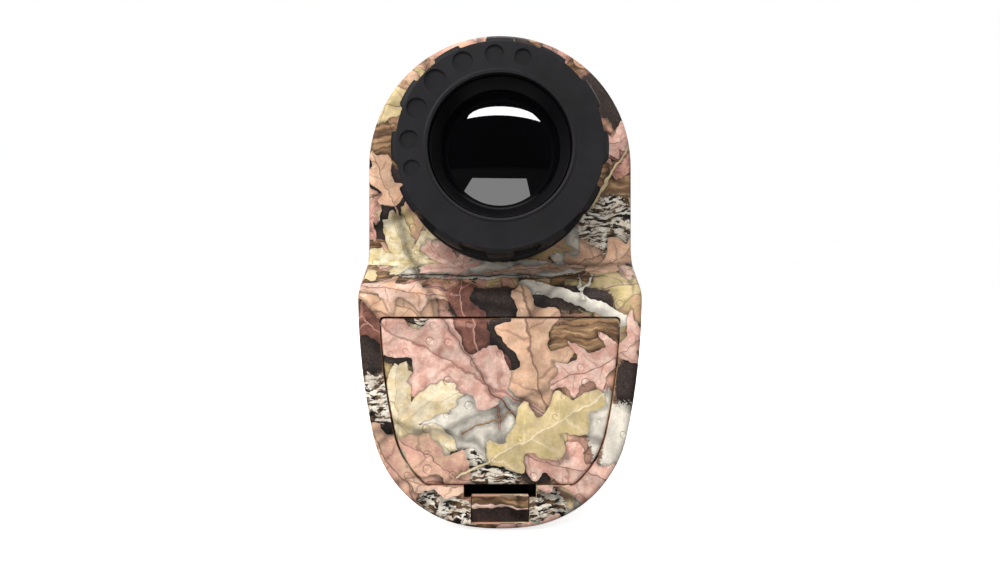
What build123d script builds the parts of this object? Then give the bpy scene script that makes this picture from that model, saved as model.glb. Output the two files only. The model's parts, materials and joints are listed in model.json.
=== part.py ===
"""Vertical-format handheld laser rangefinder, built as separate pieces.

Frame: +Z up, the user's eye at -Y, the objective facing +Y. The origin is below the body's middle:
x = 0 is the mid-plane, y = 0 is half of the length and z = 0 is the lowest point. All sizes are in mm.
"""
from build123d import *
import math
import os

# ---- Body -------------------------------------------------------------------------------------------
BODY_WIDTH = 44.0
BODY_HEIGHT = 79.5
LENGTH = 105.0
WALL = 2.0
SIDE_RADIUS = 105.0        # long arc down each side
CORNER_RADIUS = 18.0       # lower corner
BASE_RADIUS = 35.0         # underside
SIDE_TANGENT_Z = 36.5      # the flat sides end here

TOP_RADIUS = BODY_WIDTH / 2
EYE_AXIS_Z = BODY_HEIGHT - TOP_RADIUS

RING_FACE_Y = -LENGTH / 2
BEZEL_FACE_Y = LENGTH / 2
UPPER_REAR_Y = RING_FACE_Y + 17.0
LOWER_REAR_Y = RING_FACE_Y + 8.1
SHELF_TOP_Z = 42.1
SHELF_LOW_Z = 36.9
SEAM_Y = -14.0
FRONT_WALL_Y = 46.0
REAR_EDGE_FILLET = 1.2
SEAM_CHAMFER = 0.25

# ---- Eyepiece and diopter ring ----------------------------------------------------------------------
EYECUP_RADIUS = 15.58
NOTCH_COUNT = 12
NOTCH_ANGLE = 15.0
NOTCH_DEPTH = 0.78
COLLAR_RADIUS = 16.0
COLLAR_END_Y = UPPER_REAR_Y - 3.0
EYECUP_BORE = 10.3
DIMPLE_PITCH_RADIUS = 12.9
DIMPLE_CENTRE_ANGLE = 315.0                       # clockwise from the top, seen by the user
DIMPLES = [(0.0, 3.25), (21.0, 2.95), (41.5, 2.7), (59.5, 2.4)]   # offset angle, diameter
DIMPLE_DEPTH = 0.3
SLEEVE_RADIUS = 13.6
BARREL_RADIUS = 12.2
CELL_RADIUS = 10.9
RUNNING_GAP = 0.05
EYE_LENS_RADIUS = 9.1
EYE_LENS_CURVE = 25.0
EYE_LENS_EDGE_Y = RING_FACE_Y + 4.0
FOCUS_TRAVEL = 1.2
FOCUS_PIN_Y = -42.0
FOCUS_PIN_RADIUS = 0.8
CELL_ORING = (10.4, 0.45)                          # ring and cord radius
CELL_ORING_Y = -33.5

# ---- Objective, emitter and prisms ------------------------------------------------------------------
OBJECTIVE_LENS_RADIUS = 12.0
OBJECTIVE_BARREL_RADIUS = 14.0
EMITTER_Z = 22.0
EMITTER_LENS_RADIUS = 7.5
EMITTER_TUBE_RADIUS = 9.0
OBJECTIVE_LENS_Y = (43.5, 47.0)                    # rear face and front edge
EMITTER_LENS_Y = (45.0, 47.6)
FRONT_ORING_Y = 45.0
PRISM_HALF = 7.0
DISPLAY_Y = (-21.0, -19.5)

# ---- Main board -------------------------------------------------------------------------------------
BOARD_LOW_Z = 31.6
BOARD_TOP_Z = 32.6
BOARD_SCREW_X = 11.0
BOARD_SCREW_Y = (-26.0, 0.0)

# ---- Battery door, latch and battery bay ------------------------------------------------------------
DOOR_TOP_Z = 32.6
DOOR_BOTTOM_Z = 7.0
DOOR_INSET = 3.5           # from the body's outline
DOOR_HINGE_Z = 31.5
DOOR_HINGE_Y = LOWER_REAR_Y + 1.1
DOOR_GAP = 0.15
DOOR_TOP_GAP = 0.25
DOOR_TOP_FILLET = 0.7
HINGE_PIN_RADIUS = 0.5
LATCH_PIVOT = (-37.4, 7.3)                         # y, z of the latch's bead on the door
LATCH_BEAD_RADIUS = 0.7
TAB_HALF_WIDTH = 4.35
TAB_BOTTOM_Z = 1.15
TAB_TOP_Z = 5.3
POCKET_HALF_WIDTH = 5.6
POCKET_FLOOR_Z = 1.05
BATTERY_RADIUS = 5.25
BATTERY_LENGTH = 44.5
BATTERY_X = 5.8
BATTERY_Z = 20.0
BATTERY_REAR_Y = -40.6

# ---- Buttons ----------------------------------------------------------------------------------------
FIRE_Y = 14.0
FIRE_LENGTH = 22.0
FIRE_WIDTH = 11.0
BUTTON_GAP = 0.12
FIRE_PROUD = 0.6
MODE_Y = 28.0
MODE_Z = 47.5
MODE_RADIUS = 3.4
MODE_PROUD = 0.55
SWITCH_FOOT_Z = 72.3
SWITCH_FOOT_X = -16.1
GRIP_Y = (-9.0, 38.0)
GRIP_Z = (38.2, 56.8)
GRIP_PROUD = 0.6
GRIP_DEPTH = 0.8

# ---- Fasteners --------------------------------------------------------------------------------------
UPPER_BOSS = (13.2, 68.8)
LOWER_BOSS = (9.0, 6.4)
BOSS_RADIUS = 3.0
SCREW_RADIUS = 1.0
SCREW_HEAD_RADIUS = 1.9


# ---- Helpers ----------------------------------------------------------------------------------------
def along_y(sketch, y_start, y_end):
    """Extrude a sketch whose x, y are world X, Z, from y_start to y_end."""
    plane = Plane(origin=(0, y_end, 0), x_dir=(1, 0, 0), z_dir=(0, -1, 0))
    return extrude(plane * sketch, amount=y_end - y_start)


def along_x(sketch, x_start, x_end):
    """Extrude a sketch whose x, y are world Y, Z, from x_start to x_end."""
    plane = Plane(origin=(x_start, 0, 0), x_dir=(0, 1, 0), z_dir=(1, 0, 0))
    return extrude(plane * sketch, amount=x_end - x_start)


def along_z(sketch, z_start, z_end):
    return extrude(Pos(0, 0, z_start) * sketch, amount=z_end - z_start)


def rod_y(radius, y_start, y_end, x=0.0, z=EYE_AXIS_Z):
    return along_y(Pos(x, z) * Circle(radius), y_start, y_end)


def tube_y(outer, inner, y_start, y_end, x=0.0, z=EYE_AXIS_Z):
    ring = Circle(outer) - Circle(inner)
    return along_y(Pos(x, z) * ring, y_start, y_end)


def rod_x(radius, x_start, x_end, y, z):
    return along_x(Pos(y, z) * Circle(radius), x_start, x_end)


def rod_z(radius, z_start, z_end, x, y):
    return along_z(Pos(x, y) * Circle(radius), z_start, z_end)


def block(x_span, y_span, z_span):
    """Box between two corners, given as (low, high) pairs."""
    size = [high - low for low, high in (x_span, y_span, z_span)]
    centre = [(high + low) / 2 for low, high in (x_span, y_span, z_span)]
    return Pos(*centre) * Box(*size)


def cone_y(radius_start, radius_end, y_start, y_end, z=EYE_AXIS_Z):
    """Solid cone along Y, with radius_start at y_start."""
    cone = Cone(radius_start, radius_end, y_end - y_start)
    return Pos(0, (y_start + y_end) / 2, z) * Rot(-90, 0, 0) * cone


def turned(points, z=EYE_AXIS_Z):
    """Revolve a closed (radius, y) polygon about the line along Y at height z."""
    profile = make_face(Polyline(*[(r, y, 0) for r, y in points], close=True))
    return Pos(0, 0, z) * revolve(profile, axis=Axis.Y)


def ball_cap(radius, curve, edge_y, sign, z=EYE_AXIS_Z):
    """Spherical cap of a lens: bulges from edge_y by sign along Y."""
    centre_y = edge_y - sign * math.sqrt(curve ** 2 - radius ** 2)
    ball = Pos(0, centre_y, z) * Sphere(curve)
    span = (edge_y, edge_y + sign * curve)
    return ball & rod_y(radius, min(span), max(span), z=z)


def oring(ring_radius, cord_radius, y, z=EYE_AXIS_Z):
    return Pos(0, y, z) * Rot(90, 0, 0) * Torus(ring_radius, cord_radius)


def wire(points, radius):
    """Round wire swept along a smooth curve through the points."""
    path = Spline(*points)
    return sweep(Plane(origin=path @ 0, z_dir=path % 0) * Circle(radius), path=path)


def mirror_pair(solid):
    """The solid and its mirror image in the plane x = 0, as two separate solids."""
    return [solid, mirror(solid, about=Plane.YZ)]


# ---- Body sections ----------------------------------------------------------------------------------
def corner_centre():
    """Centre of the lower corner arc, tangent inside the side arc and inside the underside arc."""
    side = Vector(TOP_RADIUS - SIDE_RADIUS, SIDE_TANGENT_Z)
    base = Vector(0, BASE_RADIUS)
    to_side = SIDE_RADIUS - CORNER_RADIUS
    to_base = BASE_RADIUS - CORNER_RADIUS
    gap = (base - side).length
    run = (to_side ** 2 - to_base ** 2 + gap ** 2) / (2 * gap)
    drop = math.sqrt(to_side ** 2 - run ** 2)
    unit = (base - side) / gap
    return side + unit * run + Vector(unit.Y, -unit.X) * drop


def body_outline(inset=0.0):
    """Cross-section: round top, flat sides and three tangent arcs below, moved inwards by inset."""
    half = TOP_RADIUS - inset
    side = (TOP_RADIUS - SIDE_RADIUS, SIDE_TANGENT_Z)
    corner = corner_centre()
    side_turn = math.degrees(math.atan2(SIDE_TANGENT_Z - corner.Y, corner.X - side[0]))
    base_turn = math.degrees(math.atan2(BASE_RADIUS - corner.Y, corner.X))
    right = [
        Line((half, EYE_AXIS_Z), (half, SIDE_TANGENT_Z)),
        CenterArc(side, SIDE_RADIUS - inset, 0, -side_turn),
        CenterArc((corner.X, corner.Y), CORNER_RADIUS - inset, -side_turn, side_turn - base_turn),
    ]
    left = [mirror(edge, about=Plane.YZ) for edge in right]
    top = CenterArc((0, EYE_AXIS_Z), half, 0, 180)
    base = CenterArc((0, BASE_RADIUS), BASE_RADIUS - inset, -base_turn, 2 * base_turn - 180)
    return make_face([*right, *left, top, base])


def side_profile(inset=0.0):
    """Rear half seen from the side: the lower block stands further back than the eyepiece wall."""
    slope = math.atan2(SHELF_TOP_Z - SHELF_LOW_Z, UPPER_REAR_Y - LOWER_REAR_Y)
    drop = inset * (1 - math.sin(slope)) / math.cos(slope)
    low_y, up_y = LOWER_REAR_Y + inset, UPPER_REAR_Y + inset
    points = [(SEAM_Y, -1), (low_y, -1), (low_y, SHELF_LOW_Z - drop), (up_y, SHELF_TOP_Z - drop),
              (up_y, BODY_HEIGHT + 1), (SEAM_Y, BODY_HEIGHT + 1)]
    face = make_face(Polyline(*points, close=True))
    convex = face.vertices().sort_by_distance((low_y, SHELF_LOW_Z - drop))[0]
    face = fillet(convex, 3.2 - inset)
    concave = face.vertices().sort_by_distance((up_y, SHELF_TOP_Z - drop))[0]
    return fillet(concave, 3.5 + inset)


def door_outline(grow=0.0, bottom=DOOR_BOTTOM_Z, top_grow=None):
    """Battery door outline, parallel to the body's, made larger by grow; bottom moves the lower edge."""
    top = DOOR_TOP_Z + (grow if top_grow is None else top_grow)
    low = bottom - grow
    face = body_outline(DOOR_INSET - grow) & Pos(0, (top + low) / 2) * Rectangle(BODY_WIDTH, top - low)
    face = fillet(face.vertices().group_by(Axis.Y)[0], max(1.2 + grow, 0.6))
    return fillet(face.vertices().group_by(Axis.Y)[-1], 0.6 + max(grow, -0.3))


def oval(length, width):
    return SlotOverall(length, width)


# ---- Housings ---------------------------------------------------------------------------------------
def rim_edges(solid, y_limit):
    """Edges of the rear rim: all edges behind y_limit except the straight runs along X or Y."""
    edges = ShapeList()
    for edge in solid.edges():
        box = edge.bounding_box()
        runs_x = edge.geom_type == GeomType.LINE and box.size.X > 1
        runs_y = edge.geom_type == GeomType.LINE and box.size.Y > 1 and box.size.Z < 0.01
        if edge.center().Y < y_limit and not runs_x and not runs_y:
            edges.append(edge)
    return edges


def latch_pocket():
    """Space for the latch below the door opening: a wide finger recess above a narrower slot."""
    slot_half = TAB_HALF_WIDTH + 0.15
    slot = block((-slot_half, slot_half), (LOWER_REAR_Y - 1, -35.2), (POCKET_FLOOR_Z, 9.2))
    recess = block((-POCKET_HALF_WIDTH, POCKET_HALF_WIDTH), (LOWER_REAR_Y - 1, -39.5),
                   (4.7, DOOR_BOTTOM_Z + 0.5))
    return slot + recess


def bosses(y_start, y_end, radius):
    """Four screw columns, or the holes in them."""
    return [rod_y(radius, y_start, y_end, sign * x, z)
            for x, z in (UPPER_BOSS, LOWER_BOSS) for sign in (1, -1)]


def rear_housing():
    shell = along_y(body_outline(), LOWER_REAR_Y, SEAM_Y) & along_x(side_profile(), -30, 30)
    shell = fillet(rim_edges(shell, SEAM_Y - 1), REAR_EDGE_FILLET)
    cavity = along_y(body_outline(WALL), LOWER_REAR_Y, SEAM_Y) & along_x(side_profile(WALL), -30, 30)
    shell -= cavity
    inside = along_y(body_outline(WALL / 2), LOWER_REAR_Y + 1, SEAM_Y)
    pocket_box = block((-6.7, 6.7), (LOWER_REAR_Y + 1, -34.3), (0.5, 10.0)) & inside
    behind_door = block((-8, 8), (LOWER_REAR_Y, LOWER_REAR_Y + WALL + 0.2), (DOOR_BOTTOM_Z - DOOR_GAP, 11))
    shell += pocket_box - behind_door
    for column in bosses(UPPER_REAR_Y + 1, SEAM_Y, BOSS_RADIUS)[:2] + bosses(-30, SEAM_Y, BOSS_RADIUS)[2:]:
        shell += column & inside
    for hole in bosses(SEAM_Y - 10, SEAM_Y, SCREW_RADIUS):
        shell -= hole
    opening = door_outline(DOOR_GAP, top_grow=DOOR_TOP_GAP)
    shell -= along_y(opening, LOWER_REAR_Y - 1, LOWER_REAR_Y + WALL)
    shell -= latch_pocket()
    shell -= rod_y(BARREL_RADIUS, UPPER_REAR_Y - 1, UPPER_REAR_Y + WALL + 1)
    shell -= rod_y(COLLAR_RADIUS + 0.15, LOWER_REAR_Y, UPPER_REAR_Y)
    shell -= rod_x(HINGE_PIN_RADIUS, -20.3, 20.3, DOOR_HINGE_Y, DOOR_HINGE_Z)
    shell -= seal_ring()
    return chamfer_outer_edge(shell, SEAM_Y)


def seal_ring():
    return along_y(body_outline(0.8) - body_outline(1.3), SEAM_Y - 0.8, SEAM_Y)


def chamfer_outer_edge(solid, y, size=SEAM_CHAMFER):
    """Chamfer the outermost loop of edges that lies in the plane at y."""
    face = solid.faces().filter_by(Axis.Y).filter_by(lambda f: abs(f.center().Y - y) < 0.01)
    return chamfer(face.sort_by(SortBy.AREA)[-1].outer_wire().edges(), size)


def grip_outline(grow=0.0):
    length = GRIP_Y[1] - GRIP_Y[0] + 2 * grow
    height = GRIP_Z[1] - GRIP_Z[0] + 2 * grow
    return Pos(sum(GRIP_Y) / 2, sum(GRIP_Z) / 2) * RectangleRounded(length, height, 4.0 + grow)


def front_housing():
    shell = along_y(body_outline(), SEAM_Y, FRONT_WALL_Y)
    shell -= along_y(body_outline(WALL), SEAM_Y, FRONT_WALL_Y - WALL)
    inside = along_y(body_outline(WALL / 2), SEAM_Y, FRONT_WALL_Y - 1)
    for column in bosses(SEAM_Y, FRONT_WALL_Y, BOSS_RADIUS):
        shell += column & inside
    shell += lanyard_pocket_box() & inside
    for hole in bosses(SEAM_Y, FRONT_WALL_Y, SCREW_RADIUS + 0.1):
        shell -= hole
    for hole in bosses(SEAM_Y + 4, FRONT_WALL_Y + 1, SCREW_HEAD_RADIUS + 0.2):
        shell -= hole
    for y in (FIRE_Y - 9.5, FIRE_Y + 9.5):
        for x in (-8.3, 8.3):
            shell += rod_z(1.2, SWITCH_FOOT_Z, 76.8, x, y)
    for y, z in ((MODE_Y - 4, MODE_Z - 5), (MODE_Y + 4, MODE_Z + 5)):
        shell += rod_x(1.0, -21.0, SWITCH_FOOT_X, y, z)
    shell -= along_z(Pos(0, FIRE_Y) * Rot(0, 0, 90) * oval(FIRE_LENGTH + 2 * BUTTON_GAP,
                     FIRE_WIDTH + 2 * BUTTON_GAP), 76.0, 82)
    shell -= rod_x(MODE_RADIUS + BUTTON_GAP, -24, -19, MODE_Y, MODE_Z)
    shell -= along_x(grip_outline(), TOP_RADIUS - GRIP_DEPTH, TOP_RADIUS + 1)
    shell -= along_x(grip_outline(), -TOP_RADIUS - 1, -TOP_RADIUS + GRIP_DEPTH)
    shell -= rod_y(OBJECTIVE_BARREL_RADIUS, FRONT_WALL_Y - 3, FRONT_WALL_Y + 1)
    shell -= rod_y(EMITTER_TUBE_RADIUS, FRONT_WALL_Y - 3, FRONT_WALL_Y + 1, z=EMITTER_Z)
    shell -= block((-5, 5), (34, 42), (-1, 6))
    shell -= lanyard_bar()
    return chamfer_outer_edge(shell, SEAM_Y)


def lanyard_pocket_box():
    return block((-6.4, 6.4), (32.6, 43.4), (0.3, 7.4))


def lanyard_bar():
    return rod_x(1.0, -5.9, 5.9, 38, 2.0)


def side_grip(side):
    """Rubber inlay let into the flat side, with a field of round dimples."""
    inner = TOP_RADIUS - GRIP_DEPTH
    outer = TOP_RADIUS + GRIP_PROUD
    pad = along_x(grip_outline(-0.02), inner, outer)
    pad = fillet(pad.faces().sort_by(Axis.X)[-1].outer_wire().edges(), 0.5)
    for column in range(9):
        for row in range(4):
            y = GRIP_Y[0] + 5.5 + column * 4.6
            z = GRIP_Z[0] + 3.1 + row * 4.1
            near_button = side < 0 and math.hypot(y - MODE_Y, z - MODE_Z) < MODE_RADIUS + 3
            if not near_button:
                pad -= Pos(outer + 1.25, y, z) * Sphere(1.75)
    if side < 0:
        pad = mirror(pad, about=Plane.YZ)
        pad -= rod_x(MODE_RADIUS + BUTTON_GAP, -24, -19, MODE_Y, MODE_Z)
    return pad


def front_bezel():
    """Black front cover with a flared mouth around each lens; it hides the screw tunnels."""
    back, face = FRONT_WALL_Y, BEZEL_FACE_Y
    shell = along_y(body_outline(), back, face)
    shell = fillet(shell.faces().sort_by(Axis.Y)[-1].outer_wire().edges(), 2.2)
    shell -= along_y(body_outline(1.8), back, face - 2.2)
    for z, radius in ((EYE_AXIS_Z, OBJECTIVE_BARREL_RADIUS), (EMITTER_Z, EMITTER_TUBE_RADIUS)):
        shell += rod_y(radius + 1.6, back, face - 1, z=z)
        shell -= rod_y(radius, back - 1, face - 1.5, z=z)
        shell -= rod_y(radius - 1.9, face - 2, face + 1, z=z)
        shell -= cone_y(radius - 1.9, radius + 1.2, face - 1.5, face + 0.001, z=z)
    return chamfer_outer_edge(shell, back)


def case_screws():
    screws = []
    for x, z in (UPPER_BOSS, LOWER_BOSS):
        seat = SEAM_Y + 4
        screw = rod_y(SCREW_RADIUS, SEAM_Y - 8, seat, x, z) + rod_y(SCREW_HEAD_RADIUS, seat, seat + 1.6, x, z)
        cross = block((x - 1.1, x + 1.1), (seat + 0.9, seat + 2), (z - 0.25, z + 0.25))
        cross += block((x - 0.25, x + 0.25), (seat + 0.9, seat + 2), (z - 1.1, z + 1.1))
        screws += mirror_pair(screw - cross)
    return Compound(screws)


# ---- Eyepiece ---------------------------------------------------------------------------------------
def eyepiece_barrel():
    barrel = tube_y(BARREL_RADIUS, CELL_RADIUS + RUNNING_GAP, RING_FACE_Y + 4.2, -25)
    inner_face = UPPER_REAR_Y + WALL
    barrel += tube_y(OBJECTIVE_BARREL_RADIUS, BARREL_RADIUS - 0.5, inner_face, inner_face + 1.5)
    half_width = FOCUS_PIN_RADIUS + RUNNING_GAP
    half_length = FOCUS_TRAVEL + 0.9
    slot = block((-half_width, half_width), (FOCUS_PIN_Y - half_length, FOCUS_PIN_Y + half_length),
                 (EYE_AXIS_Z + 5, EYE_AXIS_Z + 20))
    return barrel - slot


def eyepiece_cell():
    cell = tube_y(CELL_RADIUS, EYE_LENS_RADIUS, RING_FACE_Y + 3.5, -30)
    cell += tube_y(EYE_LENS_RADIUS + 0.5, 8.3, EYE_LENS_EDGE_Y + 3.0, -36.5)
    cell -= rod_y(10.2, RING_FACE_Y + 3, EYE_LENS_EDGE_Y + 0.5)
    cell -= cell_oring_groove()
    cell -= rod_z(FOCUS_PIN_RADIUS, EYE_AXIS_Z + 8.7, EYE_AXIS_Z + 15, 0, FOCUS_PIN_Y)
    return cell


def cell_oring_groove():
    ring_radius, cord_radius = CELL_ORING
    half = cord_radius + 0.1
    return tube_y(CELL_RADIUS + 1, ring_radius - cord_radius, CELL_ORING_Y - half, CELL_ORING_Y + half)


def focus_pin():
    return rod_z(FOCUS_PIN_RADIUS, EYE_AXIS_Z + 9.6, EYE_AXIS_Z + 12.8, 0, FOCUS_PIN_Y)


def eye_lens():
    edge = EYE_LENS_EDGE_Y
    body = rod_y(EYE_LENS_RADIUS, edge, edge + 3.0)
    return body + ball_cap(EYE_LENS_RADIUS, EYE_LENS_CURVE, edge, -1)


def field_lens():
    body = rod_y(EYE_LENS_RADIUS - 0.02, -36.5, -33.0)
    return body + ball_cap(EYE_LENS_RADIUS - 0.02, 22.0, -33.0, 1)


def lens_retainer():
    """Ring with a conical mouth, screwed into the cell in front of the eye lens."""
    edge = EYE_LENS_EDGE_Y
    return turned([(10.2, edge + 0.5), (10.2, edge - 2.6), (10.05, edge - 2.75), (9.95, edge - 2.6),
                   (8.85, edge - 0.45), (8.85, edge - 0.13), (9.15, edge), (9.15, edge + 0.5)])


def diopter_ring():
    ring = tube_y(COLLAR_RADIUS, BARREL_RADIUS + RUNNING_GAP, COLLAR_END_Y, UPPER_REAR_Y - 0.1)
    ring = fillet(ring.edges().filter_by(GeomType.CIRCLE).sort_by(SortBy.RADIUS)[-2:], 0.35)
    ring += tube_y(SLEEVE_RADIUS, BARREL_RADIUS + RUNNING_GAP, RING_FACE_Y + 2.2, COLLAR_END_Y)
    groove_half = FOCUS_TRAVEL + 0.95
    return ring - tube_y(13.0, BARREL_RADIUS, FOCUS_PIN_Y - groove_half, FOCUS_PIN_Y + groove_half)


def eyecup_section():
    """Outer outline of the eyecup across its axis, with round-cornered notches."""
    section = Circle(EYECUP_RADIUS)
    floor = EYECUP_RADIUS - NOTCH_DEPTH
    far = EYECUP_RADIUS + 2
    half = math.radians(NOTCH_ANGLE / 2)
    wedge = Polygon((0, 0), (far * math.sin(half), far * math.cos(half)),
                    (-far * math.sin(half), far * math.cos(half)), align=None)
    notch = wedge - Circle(floor)
    for index in range(NOTCH_COUNT):
        section -= Rot(0, 0, (index + 0.5) * 360 / NOTCH_COUNT) * notch
    return fillet(section.vertices(), 0.28)


def eyecup():
    face = RING_FACE_Y + 0.15
    lip = EYECUP_BORE + 0.32
    blank = turned([(EYECUP_BORE, face + 1.95), (EYECUP_BORE, face - 0.02), (lip, face - 0.15),
                    (EYECUP_BORE + 0.64, face), (EYECUP_RADIUS - 0.9, face),
                    (EYECUP_RADIUS - 0.3, face + 0.28), (EYECUP_RADIUS, face + 0.95),
                    (EYECUP_RADIUS, COLLAR_END_Y - 0.05),
                    (SLEEVE_RADIUS, COLLAR_END_Y - 0.05), (SLEEVE_RADIUS, face + 1.95)])
    cutter = Pos(0, EYE_AXIS_Z) * (Circle(EYECUP_RADIUS + 2) - eyecup_section())
    cup = blank - along_y(cutter, RING_FACE_Y - 1, COLLAR_END_Y - 1.3)
    for offset, diameter in DIMPLES:
        for sign in ((1,) if offset == 0 else (1, -1)):
            cup -= dimple(DIMPLE_CENTRE_ANGLE + sign * offset, diameter, face)
    return cup


def dimple(angle, diameter, face_y):
    """Flat-bottomed round recess in the eyecup's face."""
    turn = math.radians(angle)
    x = DIMPLE_PITCH_RADIUS * math.sin(turn)
    z = EYE_AXIS_Z + DIMPLE_PITCH_RADIUS * math.cos(turn)
    recess = rod_y(diameter / 2, face_y - 1, face_y + DIMPLE_DEPTH, x, z)
    return fillet(recess.edges().filter_by(GeomType.CIRCLE).sort_by(Axis.Y)[-1], 0.12)


# ---- Objective, emitter, prisms and display ---------------------------------------------------------
def objective_barrel():
    barrel = tube_y(OBJECTIVE_BARREL_RADIUS, OBJECTIVE_LENS_RADIUS, 12, BEZEL_FACE_Y - 1.5)
    seat = OBJECTIVE_LENS_Y[0]
    barrel += tube_y(OBJECTIVE_LENS_RADIUS + 0.5, 10.8, seat - 3, seat)
    return barrel - tube_y(15, 13.15, FRONT_ORING_Y - 0.5, FRONT_ORING_Y + 0.5)


def objective_lens():
    back, edge = OBJECTIVE_LENS_Y
    body = rod_y(OBJECTIVE_LENS_RADIUS, back, edge)
    return body + ball_cap(OBJECTIVE_LENS_RADIUS, 38.0, edge, 1)


def objective_retainer():
    return turned([(12.0, 47.05), (12.0, 50.9), (11.6, 50.9), (11.0, 49.4), (11.0, 47.4), (11.6, 47.2)])


def emitter_tube():
    tube = tube_y(EMITTER_TUBE_RADIUS, EMITTER_LENS_RADIUS, 17, BEZEL_FACE_Y - 1.5, z=EMITTER_Z)
    seat = EMITTER_LENS_Y[0]
    tube += tube_y(EMITTER_LENS_RADIUS + 0.5, 6.6, seat - 2.5, seat, z=EMITTER_Z)
    return tube - tube_y(10, 8.15, FRONT_ORING_Y - 0.5, FRONT_ORING_Y + 0.5, z=EMITTER_Z)


def emitter_lens():
    back, edge = EMITTER_LENS_Y
    body = rod_y(EMITTER_LENS_RADIUS, back, edge, z=EMITTER_Z)
    return body + ball_cap(EMITTER_LENS_RADIUS, 17.0, edge, 1, z=EMITTER_Z)


def prism_section(points):
    return along_x(make_face(Polyline(*[(y, EYE_AXIS_Z + z) for y, z in points], close=True)),
                   -PRISM_HALF, PRISM_HALF)


def prism_front():
    return prism_section([(9.5, -7), (9.5, 7), (-0.4, 7), (-6.2, -7)])


def prism_rear():
    return prism_section([(-0.7, 7), (-6.5, -7), (-17.5, -7), (-17.5, 2.5), (-9.6, 10.4)])


def prism_holder():
    z = EYE_AXIS_Z
    holder = block((-8.6, 8.6), (-19.5, 12), (z - 8.6, z + 8.6))
    holder -= block((-PRISM_HALF, PRISM_HALF), (-17.5, 9.5), (z - 7, z + 20))
    holder -= rod_y(6.0, -20, 13)
    holder += tube_y(OBJECTIVE_BARREL_RADIUS, 9.0, 10.2, 12)
    holder -= rod_x(2.6, 6, 9, -11, z)
    return holder


def prism_clip():
    z = EYE_AXIS_Z
    strap = block((-8.9, 8.9), (1.5, 6.5), (z + 8.6, z + 8.9))
    for x_span in ((8.6, 8.9), (-8.9, -8.6)):
        strap += block(x_span, (1.5, 6.5), (z + 3, z + 8.9))
    return strap + block((-3, 3), (2.5, 5.5), (z + 7.0, z + 8.7))


def display_lcd():
    z = EYE_AXIS_Z
    return block((-7.5, 7.5), DISPLAY_Y, (z - 8.5, z + 6.5))


def display_ribbon():
    low = BOARD_TOP_Z + 0.6
    rear = DISPLAY_Y[0] - 0.3
    drop = block((-4, 4), (rear, DISPLAY_Y[0]), (low, EYE_AXIS_Z - 7))
    foot = block((-4, 4), (rear, -16.0), (low, low + 0.3))
    return drop + foot


def receiver_board():
    return block((9.0, 10.0), (-17.0, -3.0), (EYE_AXIS_Z - 7, EYE_AXIS_Z + 7))


def apd_sensor():
    return rod_x(2.55, 7.0, 9.0, -11, EYE_AXIS_Z)


# ---- Electronics ------------------------------------------------------------------------------------
def board_screw_places():
    return [(sign * BOARD_SCREW_X, y) for sign in (-1, 1) for y in BOARD_SCREW_Y]


def main_board():
    board = along_z(Pos(0, 4) * RectangleRounded(33, 70, 2), BOARD_LOW_Z, BOARD_TOP_Z)
    for x, y in board_screw_places():
        board -= rod_z(1.1, BOARD_LOW_Z - 0.6, BOARD_TOP_Z + 0.4, x, y)
    return board


def board_parts():
    """Processor, regulator, memory, ribbon socket, coil and the laser's storage capacitor."""
    top = BOARD_TOP_Z
    places = [((-5, 5), (-6, 4), 1.2), ((7, 12), (8, 12), 1.0), ((-13, -7), (10, 16), 1.3),
              ((-4, 4), (-16.0, -13.0), 1.8)]
    chips = [block(x_span, y_span, (top, top + height)) for x_span, y_span, height in places]
    coil = rod_z(3.6, top, top + 3.4, -9, 27)
    capacitor = rod_x(3.0, 2, 13, 26, top + 3.1)
    return Compound([*chips, coil, capacitor])


def board_screws():
    screws = []
    for x, y in board_screw_places():
        screw = rod_z(0.9, 28.0, BOARD_TOP_Z, x, y) + rod_z(1.8, BOARD_TOP_Z, BOARD_TOP_Z + 1.2, x, y)
        slot = block((x - 1, x + 1), (y - 0.25, y + 0.25), (BOARD_TOP_Z + 0.7, BOARD_TOP_Z + 1.4))
        screws.append(screw - slot)
    return Compound(screws)


def laser_board():
    return block((-8, 8), (14.0, 15.2), (EMITTER_Z - 8, EMITTER_Z + 8))


def laser_diode():
    return rod_y(2.8, 15.2, 16.4, z=EMITTER_Z) + rod_y(2.35, 16.4, 19.5, z=EMITTER_Z)


def laser_socket():
    """Disc that closes the emitter tube and centres the laser diode."""
    disc = rod_y(EMITTER_TUBE_RADIUS, 16.4, 17.0, z=EMITTER_Z)
    disc += rod_y(EMITTER_LENS_RADIUS, 16.4, 20.5, z=EMITTER_Z)
    return disc - rod_y(2.35, 16, 21, z=EMITTER_Z)


def laser_wires():
    wires = [wire([(x, 13.6, EMITTER_Z + 6), (x, 10.8, EMITTER_Z + 6.5), (x, 10.6, EMITTER_Z + 9.2)], 0.4)
             for x in (-1.5, 1.5)]
    return Compound(wires)


def battery_wires():
    wires = [wire([(x, 7.7, BATTERY_Z + 2), (x, 9.5, BATTERY_Z + 6), (x, 9.0, BATTERY_Z + 11.2)], 0.45)
             for x in (-BATTERY_X, BATTERY_X)]
    return Compound(wires)


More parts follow.
